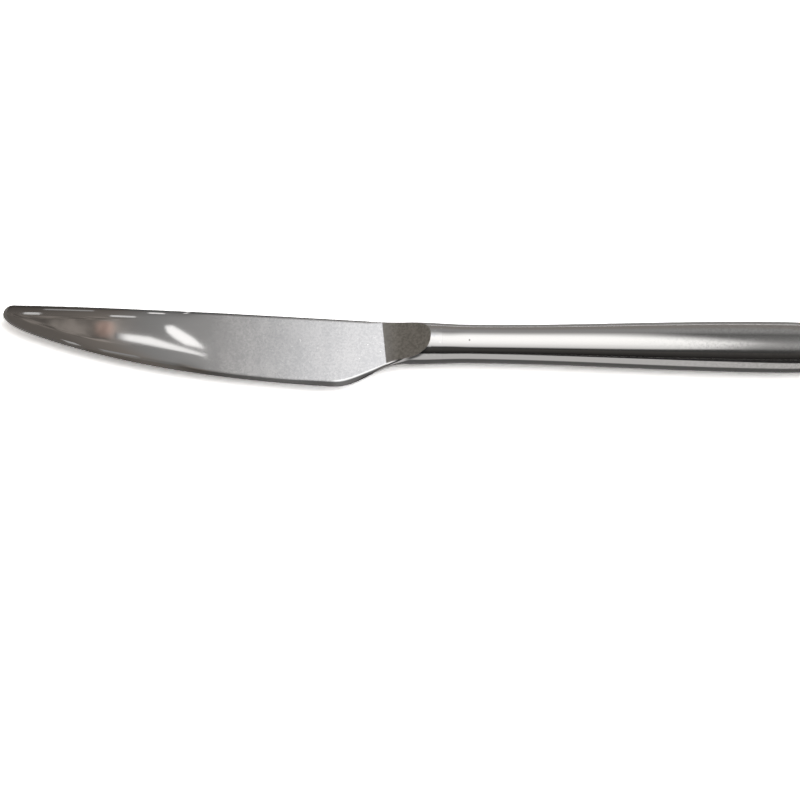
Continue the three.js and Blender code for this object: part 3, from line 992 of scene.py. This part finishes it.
@dataclass(frozen=True)
class HandleFinish:
    """Handle steel: mirror polish with fine lines along the handle and rubbed patches at the bulge."""

    steel: Triple = (0.64, 0.627, 0.615)
    rubbed: Triple = (0.55, 0.54, 0.53)
    pit: Triple = (0.2, 0.19, 0.18)
    polish: float = 0.06
    rubbed_roughness: float = 0.13
    line_roughness: float = 0.05
    rubbed_mm: Range = (145.0, 185.0)
    line: Grain = Grain(1500.0)
    line_stretch: Triple = (0.05, 1.0, 1.0)
    patch: Grain = Grain(1300.0, 6.0, 0.75, (0.42, 0.62))
    pit_place_m: Triple = (0.00793, -0.00038, 0.00947)
    pit_radius_m: float = 0.00026
    bump: Range = (0.04, 0.00001)

    def material(self) -> Material:
        """Fine lines are noise stretched along the handle; rubbed patches are noise near the bulge.

        Returns:
            The handle's material.
        """
        material, board = new_board("handle_steel")
        place, along = board.object_place(), board.attribute("along")
        lines = board.noise(board.stretched(place, self.line_stretch), self.line)
        patches = board.step(board.noise(place, self.patch), *self.patch.steps)
        rubbed = board.product(patches, board.step(along, *self.rubbed_mm))
        rough = board.step(rubbed, 0.0, 1.0, self.polish, self.rubbed_roughness)
        rough = board.math("ADD", rough, board.product(lines, self.line_roughness))
        away, radius = board.distance(place, self.pit_place_m), self.pit_radius_m
        pit = board.fall(away, radius / 2, radius)
        colour = board.blend(pit, board.blend(rubbed, self.steel, self.rubbed), self.pit)
        board.metal(colour, rough, board.bump(lines, *self.bump))
        return material


@dataclass(frozen=True)
class HiddenPiece:
    """A piece inside the handle: it keeps the CAD's own mesh and gets a rough finish of two tones."""

    node: str
    finish: str
    colour: Triple
    dark: Triple
    roughness: float
    metallic: float
    grain: Grain
    bump: Range = (0.3, 0.0001)

    def material(self) -> Material:
        """Two tones and a bump, both from one noise.

        Returns:
            The piece's material.
        """
        material, board = new_board(self.finish)
        grain = board.noise(board.object_place(), self.grain)
        tone, normal = board.blend(grain, self.dark, self.colour), board.bump(grain, *self.bump)
        board.metal(tone, self.roughness, normal, self.metallic)
        return material

    def dress(self) -> None:
        """Gives the CAD's mesh its finish."""
        dress(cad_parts[self.node], self.material())
        LOG.info("%s: the CAD's own mesh", self.node)


SOLDER = HiddenPiece(
    "solder_ring", "hard_solder", colour=(0.5, 0.49, 0.46), dark=(0.32, 0.31, 0.29),
    roughness=0.45, metallic=1.0, grain=Grain(700.0, 4.0),
)
CEMENT = HiddenPiece(
    "tang_cement", "tang_cement", colour=(0.3, 0.26, 0.21), dark=(0.16, 0.14, 0.11),
    roughness=0.9, metallic=0.0, grain=Grain(900.0, 4.0),
)


# Studio


@dataclass(frozen=True)
class Camera:
    """Camera of the photograph: above the cutting edge side, leaning back from the vertical."""

    aim_m: Triple = (-0.0083977, -0.0141432, 0.004)
    distance_m: float = 0.6
    lean_deg: float = 30.0
    turn_deg: float = 1.0883
    focal_pixels: float = 2520.0
    image_pixels: float = 800.0
    sensor_mm: float = 36.0
    clip_m: Range = (0.01, 100.0)

    def build(self) -> None:
        """Makes the camera and sets it as the scene's."""
        lean, turn = math.radians(self.lean_deg), math.radians(self.turn_deg)
        back, right = Vector((0.0, -math.sin(lean), math.cos(lean))), Vector((1.0, 0.0, 0.0))
        up = back.cross(right)
        right, up = right * math.cos(turn) + up * math.sin(turn), up * math.cos(turn) - right * math.sin(turn)
        data = bpy.data.cameras.new("photo_camera")
        data.sensor_width = self.sensor_mm
        data.lens = self.focal_pixels * self.sensor_mm / self.image_pixels
        data.clip_start, data.clip_end = self.clip_m
        camera = new_object("photo_camera", data)
        turned = Matrix((right, up, back)).transposed().to_4x4()
        camera.matrix_world = Matrix.Translation(Vector(self.aim_m) + back * self.distance_m) @ turned
        bpy.context.scene.camera = camera


def stage_piece(name: str, points: Sequence[Triple], faces: Faces, material: Material) -> Piece:
    """A mesh of the studio that isn't part of the knife.

    Args:
        name: name of the piece.
        points: its points, in metres.
        faces: point numbers of each face.
        material: what it is covered with.

    Returns:
        The piece.
    """
    mesh = bpy.data.meshes.new(name)
    mesh.from_pydata(points, [], faces)
    mesh.materials.append(material)
    piece = new_object(name, mesh)
    return piece


def card(name: str, plan: Stops, height_m: float, material: Material) -> Piece:
    """A flat, level card of the studio, from the corners of its plan in order and its height."""
    return stage_piece(name, [(x, y, height_m) for x, y in plan], [tuple(range(len(plan)))], material)


def mirror_only(piece: Piece) -> None:
    """Leaves a card to be seen in reflections alone."""
    for ray in ("camera", "diffuse", "shadow"):
        setattr(piece, f"visible_{ray}", False)


class Emitter:
    """Nodes that make a card glow, with the card's own x and y."""

    def __init__(self, name: str) -> None:
        """Starts a new material.

        Args:
            name: name of the material.
        """
        self.material, self.board = new_board(name)
        place = self.board.split(self.board.object_place())
        self.x, self.y = place["X"], place["Y"]

    def glow(self, strength: Feed, colour: Feed) -> Material:
        """Closes the material with a glow of a strength and colour."""
        self.board.close(self.board.add("ShaderNodeEmission", {"Color": colour, "Strength": strength}))
        return self.material


@dataclass(frozen=True)
class Overhead:
    """Soft light over the knife: full above the handle, fading to the left, with a slanted right side."""

    height_m: float = 0.55
    left_m: float = -0.3
    right_m: float = 0.26
    colour: Triple = (1.0, 1.0, 0.995)
    across: Stops = (
        (-0.9, 0.05), (-0.77, 0.14), (-0.69, 0.3), (-0.6, 0.72), (-0.5, 0.98), (-0.365, 1.15), (-0.25, 1.36),
        (-0.135, 1.46), (-0.04, 1.55), (0.08, 1.55), (0.21, 1.4), (0.265, 1.08), (0.365, 0.72), (0.455, 0.46),
        (0.6, 0.38), (1.1, 0.32),
    )
    along: Stops = (
        (-0.3, 0.09), (-0.2, 0.105), (-0.167, 0.16), (-0.144, 0.21), (-0.13, 0.255), (-0.116, 0.29),
        (-0.103, 0.325), (-0.09, 0.35), (-0.0755, 0.39), (-0.0615, 0.8), (-0.0525, 1.15), (-0.0435, 1.31),
        (-0.03, 1.3), (0.0, 1.0),
    )
    slant_start_m: float = 0.088
    slant: float = -0.2
    slant_limits_m: Range = (0.05, 0.117)
    front_slant_start_m: float = 0.36
    front_slant: float = 0.5
    slant_soft_m: Range = (-0.035, 0.06)
    least: Stops = (
        (-0.9, 0.05), (-0.6, 0.08), (-0.42, 0.3), (-0.29, 0.42), (-0.18, 0.4), (-0.08, 0.31), (0.0, 0.22),
        (0.25, 0.14), (0.42, 0.31), (0.6, 0.36), (1.1, 0.32),
    )
    least_from_m: Range = (-0.03, 0.03)
    lump: Grain = Grain(95.0, 3.0, 0.6, (0.33, 0.7))
    lump_levels: Range = (0.65, 1.9)
    lumps_until_m: Range = (-0.172, -0.145)
    lumps_aside_m: Range = (0.006, 0.035)
    lumps_tint: Triple = (1.0, 0.9, 0.82)
    patch: Triple = (1.6, 1.16, 1.0)
    patch_place_m: Triple = (-0.1675, 0.176, 0.55)
    patch_radius_m: Range = (0.0015, 0.0068)

    def lumps(self, lamp: Emitter) -> tuple[Socket, Socket]:
        """Warm lumps and one rosy patch at the left end.

        Args:
            lamp: nodes of the card.

        Returns:
            A factor of the glow, and its colour.
        """
        board, place = lamp.board, lamp.board.object_place()
        left = board.fall(lamp.x, *self.lumps_until_m)
        aside = board.math("ABSOLUTE", board.math("SUBTRACT", lamp.y, self.patch_place_m[1]))
        lumpy = board.product(left, board.fall(aside, *self.lumps_aside_m))
        lump = board.step(board.noise(place, self.lump), *self.lump.steps, *self.lump_levels)
        patch = board.fall(board.distance(place, self.patch_place_m), *self.patch_radius_m)
        colour = board.blend(patch, board.blend(left, self.colour, self.lumps_tint), self.patch)
        return board.step(lumpy, 0.0, 1.0, 1.0, lump), colour

    def build(self) -> None:
        """Makes the card; its glow is the product of two runs, the slanted side and the lumps."""
        lamp = Emitter("overhead_light")
        board = lamp.board
        limit = board.math("MULTIPLY_ADD", lamp.y, self.slant, self.slant_start_m)
        limit = board.math("MAXIMUM", limit, self.slant_limits_m[0])
        front = board.math("MULTIPLY_ADD", lamp.y, self.front_slant, self.front_slant_start_m)
        limit = board.math("MINIMUM", board.math("MINIMUM", limit, front), self.slant_limits_m[1])
        side = board.fall(board.math("SUBTRACT", lamp.x, limit), *self.slant_soft_m)
        runs = board.product(board.ramp(lamp.y, self.across), board.ramp(lamp.x, self.along), side)
        least = board.product(board.ramp(lamp.y, self.least), board.step(lamp.x, *self.least_from_m))
        lumps, colour = self.lumps(lamp)
        material = lamp.glow(board.product(board.math("MAXIMUM", runs, least), lumps), colour)
        near, far = self.across[0][0], self.across[-1][0]
        plan = ((self.left_m, near), (self.left_m, far), (self.right_m, far), (self.right_m, near))
        piece = card("overhead_light", plan, self.height_m, material)
        piece.visible_camera = False
        piece.visible_shadow = False


@dataclass(frozen=True)
class Glint:
    """A small lamp or flag that only shows as a mark in the polished steel."""

    name: str
    plan_m: Stops
    strength: float
    colour: Triple = WHITE
    height_m: float = 0.3
    fade_m: Range = (-1.0, -0.9)

    def build(self) -> None:
        """Makes the card, which fades in along x."""
        lamp = Emitter(self.name)
        material = lamp.glow(lamp.board.step(lamp.x, *self.fade_m, 0.0, self.strength), self.colour)
        mirror_only(card(self.name, self.plan_m, self.height_m, material))


def pane(name: str, x: Range, y: Range, strength: float) -> Glint:
    """A glint with an upright oblong plan, from its ranges of x and y in metres."""
    return Glint(name, ((x[0], y[0]), (x[0], y[1]), (x[1], y[1]), (x[1], y[0])), strength)


DARK_FLAG_PLAN_M = (
    (0.006, -0.9), (0.008, -0.25), (0.011, -0.12), (0.023, -0.078), (0.03, -0.06), (0.045, -0.048),
    (0.06, -0.0395), (0.0756, -0.0325), (0.087, -0.0275), (0.13, -0.025), (0.9, -0.025), (0.9, -0.9),
)
LONG_STREAK_PLAN_M = (
    (-0.1236, 0.0954), (-0.1107, 0.0939), (-0.0996, 0.0903), (-0.0893, 0.087), (-0.0893, 0.0862),
    (-0.0995, 0.0884), (-0.1105, 0.0908), (-0.1236, 0.0934),
)
SHORT_STREAK_PLAN_M = (
    (-0.1053, 0.0981), (-0.1027, 0.0983), (-0.0997, 0.0966), (-0.0952, 0.0939), (-0.0899, 0.0893),
    (-0.0931, 0.0899), (-0.0977, 0.091), (-0.1018, 0.0935), (-0.1045, 0.0958),
)
GLINTS = (
    pane("spine_pane_1", (-0.158, -0.152), (0.113, 0.125), 0.75),
    pane("spine_pane_2", (-0.152, -0.133), (0.146, 0.158), 0.4),
    pane("spine_pane_3", (-0.1257, -0.1165), (0.113, 0.122), 0.85),
    pane("spine_pane_4", (-0.112, -0.106), (0.146, 0.158), 1.2),
    pane("belly_pane_1", (-0.1565, -0.1495), (0.027, 0.041), 0.5),
    pane("belly_pane_2", (-0.139, -0.1225), (0.024, 0.038), 0.34),
    Glint("dark_flag", DARK_FLAG_PLAN_M, 0.03, height_m=0.0005),
    Glint("long_streak", LONG_STREAK_PLAN_M, 1.45, fade_m=(-0.125, -0.118)),
    Glint("short_streak", SHORT_STREAK_PLAN_M, 1.55),
)


@dataclass(frozen=True)
class GreyCard:
    """Grey card on the floor before the knife, which the metal mirrors with the dark of its own shadow."""

    low_m: Range = (-0.25, -1.2)
    high_m: Range = (0.35, 0.12)
    height_m: float = 0.0003
    colour: Triple = (1.0, 0.99, 0.98)
    by_handle: Stops = (
        (-0.03, 0.655), (-0.0108, 0.65), (-0.0097, 0.58), (-0.0089, 0.17), (-0.0081, 0.125), (-0.0063, 0.12),
        (-0.0045, 0.145), (-0.0025, 0.16), (0.0, 0.1), (0.006, 0.2), (0.012, 0.32),
    )
    by_blade: Stops = (
        (-0.0198, 0.65), (-0.0146, 0.634), (-0.0094, 0.543), (-0.0043, 0.06), (0.0009, 0.08), (0.0061, 0.2),
        (0.0113, 0.31),
    )
    handle_from_m: Range = (-0.014, -0.009)

    def build(self) -> None:
        """Makes the card, whose glow grows away from the middle of the knife and is dimmer behind it."""
        lamp = Emitter("grey_card")
        handle, blade = (lamp.board.ramp(lamp.y, stops) for stops in (self.by_handle, self.by_blade))
        level = lamp.board.step(lamp.x, *self.handle_from_m, blade, handle)
        (left, near), (right, far) = self.low_m, self.high_m
        plan = ((left, near), (right, near), (right, far), (left, far))
        mirror_only(card("grey_card", plan, self.height_m, lamp.glow(level, self.colour)))


@dataclass(frozen=True)
class Room:
    """Dim room round the studio: dark in front on the right, grey behind, on the left and at the sides."""

    radius_m: float = 5.0
    rows: int = 16
    columns: int = 48
    tint: Triple = (1.0, 0.95, 0.9)
    sides: float = 0.24
    sides_from: Range = (0.4, 0.65)
    left: float = 0.12
    left_until: Range = (-0.13, -0.07)
    by_lean: Stops = (
        (-95.0, 0.3), (-60.0, 0.31), (-45.0, 0.36), (-34.0, 0.33), (-24.0, 0.18), (0.0, 0.16), (40.0, 0.16),
        (48.0, 0.12), (60.0, 0.08), (85.0, 0.022), (95.0, 0.02),
    )

    def level(self, board: Board, way: Socket) -> Socket:
        """Glow by the lean towards the front, eased to one level at the sides.

        Args:
            board: nodes that the glow is laid into.
            way: direction from the knife, of unit length.

        Returns:
            The level of the glow.
        """
        split = board.split(way)
        lean = board.math("ARCTAN2", board.product(split["Y"], -1.0), split["Z"])
        aside = board.step(board.math("ABSOLUTE", split["X"]), *self.sides_from)
        return board.step(aside, 0.0, 1.0, board.ramp(board.math("DEGREES", lean), self.by_lean), self.sides)

    def shell(self) -> None:
        """Dome that the metal mirrors: rings at even angles from the floor up, times the radius."""
        rise = np.linspace(0.0, np.pi / 2, self.rows)[:, None]
        turn = np.linspace(0.0, 2.0 * np.pi, self.columns, endpoint=False)[None, :]
        flat, high = np.cos(rise), np.sin(rise) * np.ones_like(turn)
        points = np.stack([flat * np.cos(turn), flat * np.sin(turn), high], axis=-1).reshape(-1, 3)
        lamp = Emitter("room_shell")
        board = lamp.board
        place = board.object_place()
        way = board.add("ShaderNodeVectorMath", {0: place}, operation="NORMALIZE").outputs["Vector"]
        left = board.step(board.split(way)["X"], *self.left_until, self.left, 0.0)
        material = lamp.glow(board.math("MAXIMUM", self.level(board, way), left), self.tint)
        faces = ring_skin(self.rows, self.columns).tolist()
        mirror_only(stage_piece("room_shell", (points * self.radius_m).tolist(), faces, material))

    def world(self) -> None:
        """World that lights the floor as the room does, and is white to whatever looks past the floor."""
        world = bpy.data.worlds.new("studio_room")
        world.use_nodes = True
        bpy.context.scene.world = world
        board = Board(world.node_tree)
        path = board.add("ShaderNodeLightPath").outputs
        seen = board.math("MAXIMUM", path["Is Camera Ray"], path["Is Glossy Ray"])
        seen = board.math("MAXIMUM", seen, path["Is Transmission Ray"])
        level = self.level(board, board.add("ShaderNodeTexCoord").outputs["Generated"])
        colour = board.blend(seen, self.tint, WHITE)
        strength = board.step(seen, 0.0, 1.0, level, 1.0)
        surround = board.add("ShaderNodeBackground", {"Color": colour, "Strength": strength})
        board.close(surround, "ShaderNodeOutputWorld")

    def build(self) -> None:
        """Sets up the world and the dome."""
        self.world()
        self.shell()


@dataclass(frozen=True)
class Studio:
    """White floor, soft lights and a dim room."""

    floor_half_m: float = 6.0
    floor_colour: Triple = (0.78, 0.78, 0.78)
    floor_mirrored: Triple = (1.4, 1.4, 1.4)
    floor_seen: Triple = (3.2, 3.2, 3.2)
    wing_place_m: Triple = (0.75, 0.0, 0.9)
    wing_size_m: Range = (1.0, 1.6)
    wing_watts: float = 9.5

    def floor(self) -> None:
        """White floor that keeps the shadow; to the camera it is as overexposed as a product photograph's."""
        material, board = new_board("studio_floor")
        path = board.add("ShaderNodeLightPath").outputs
        mirrored = board.math("MAXIMUM", path["Is Glossy Ray"], path["Is Transmission Ray"])
        colour = board.blend(mirrored, self.floor_colour, self.floor_mirrored)
        colour = board.blend(path["Is Camera Ray"], colour, self.floor_seen)
        board.close(board.add("ShaderNodeBsdfDiffuse", {"Color": colour}))
        half = self.floor_half_m
        card("studio_floor", ((-half, -half), (half, -half), (half, half), (-half, half)), 0.0, material)

    def wing(self) -> None:
        """Large soft light on the right, beyond what the handle mirrors."""
        data = bpy.data.lights.new("wing_light", "AREA")
        data.shape = "RECTANGLE"
        data.size, data.size_y = self.wing_size_m
        data.energy = self.wing_watts
        light = new_object("wing_light", data)
        light.location = self.wing_place_m
        light.rotation_mode = "QUATERNION"
        light.rotation_quaternion = Vector(self.wing_place_m).to_track_quat("Z", "Y")
        light.visible_camera = False

    def build(self) -> None:
        """Sets up the floor, the lights and the room."""
        self.floor()
        self.wing()
        for light in (Room(), Overhead(), GreyCard(), *GLINTS):
            light.build()
        bpy.context.scene.view_settings.view_transform = "Standard"


# Assembly


def main() -> None:
    """Builds the camera, the studio and the pieces, and logs each piece."""
    logging.basicConfig(level=logging.INFO)
    Camera().build()
    Studio().build()
    blade = Blade()
    blade.dress(blade.build(), BladeFinish().material())
    handle_steel = HandleFinish().material()
    for half in Half:
        shell = HandleShell(half)
        shell.dress(shell.build(), handle_steel)
    for hidden in (SOLDER, CEMENT):
        hidden.dress()


if __name__ == "__main__":
    main()
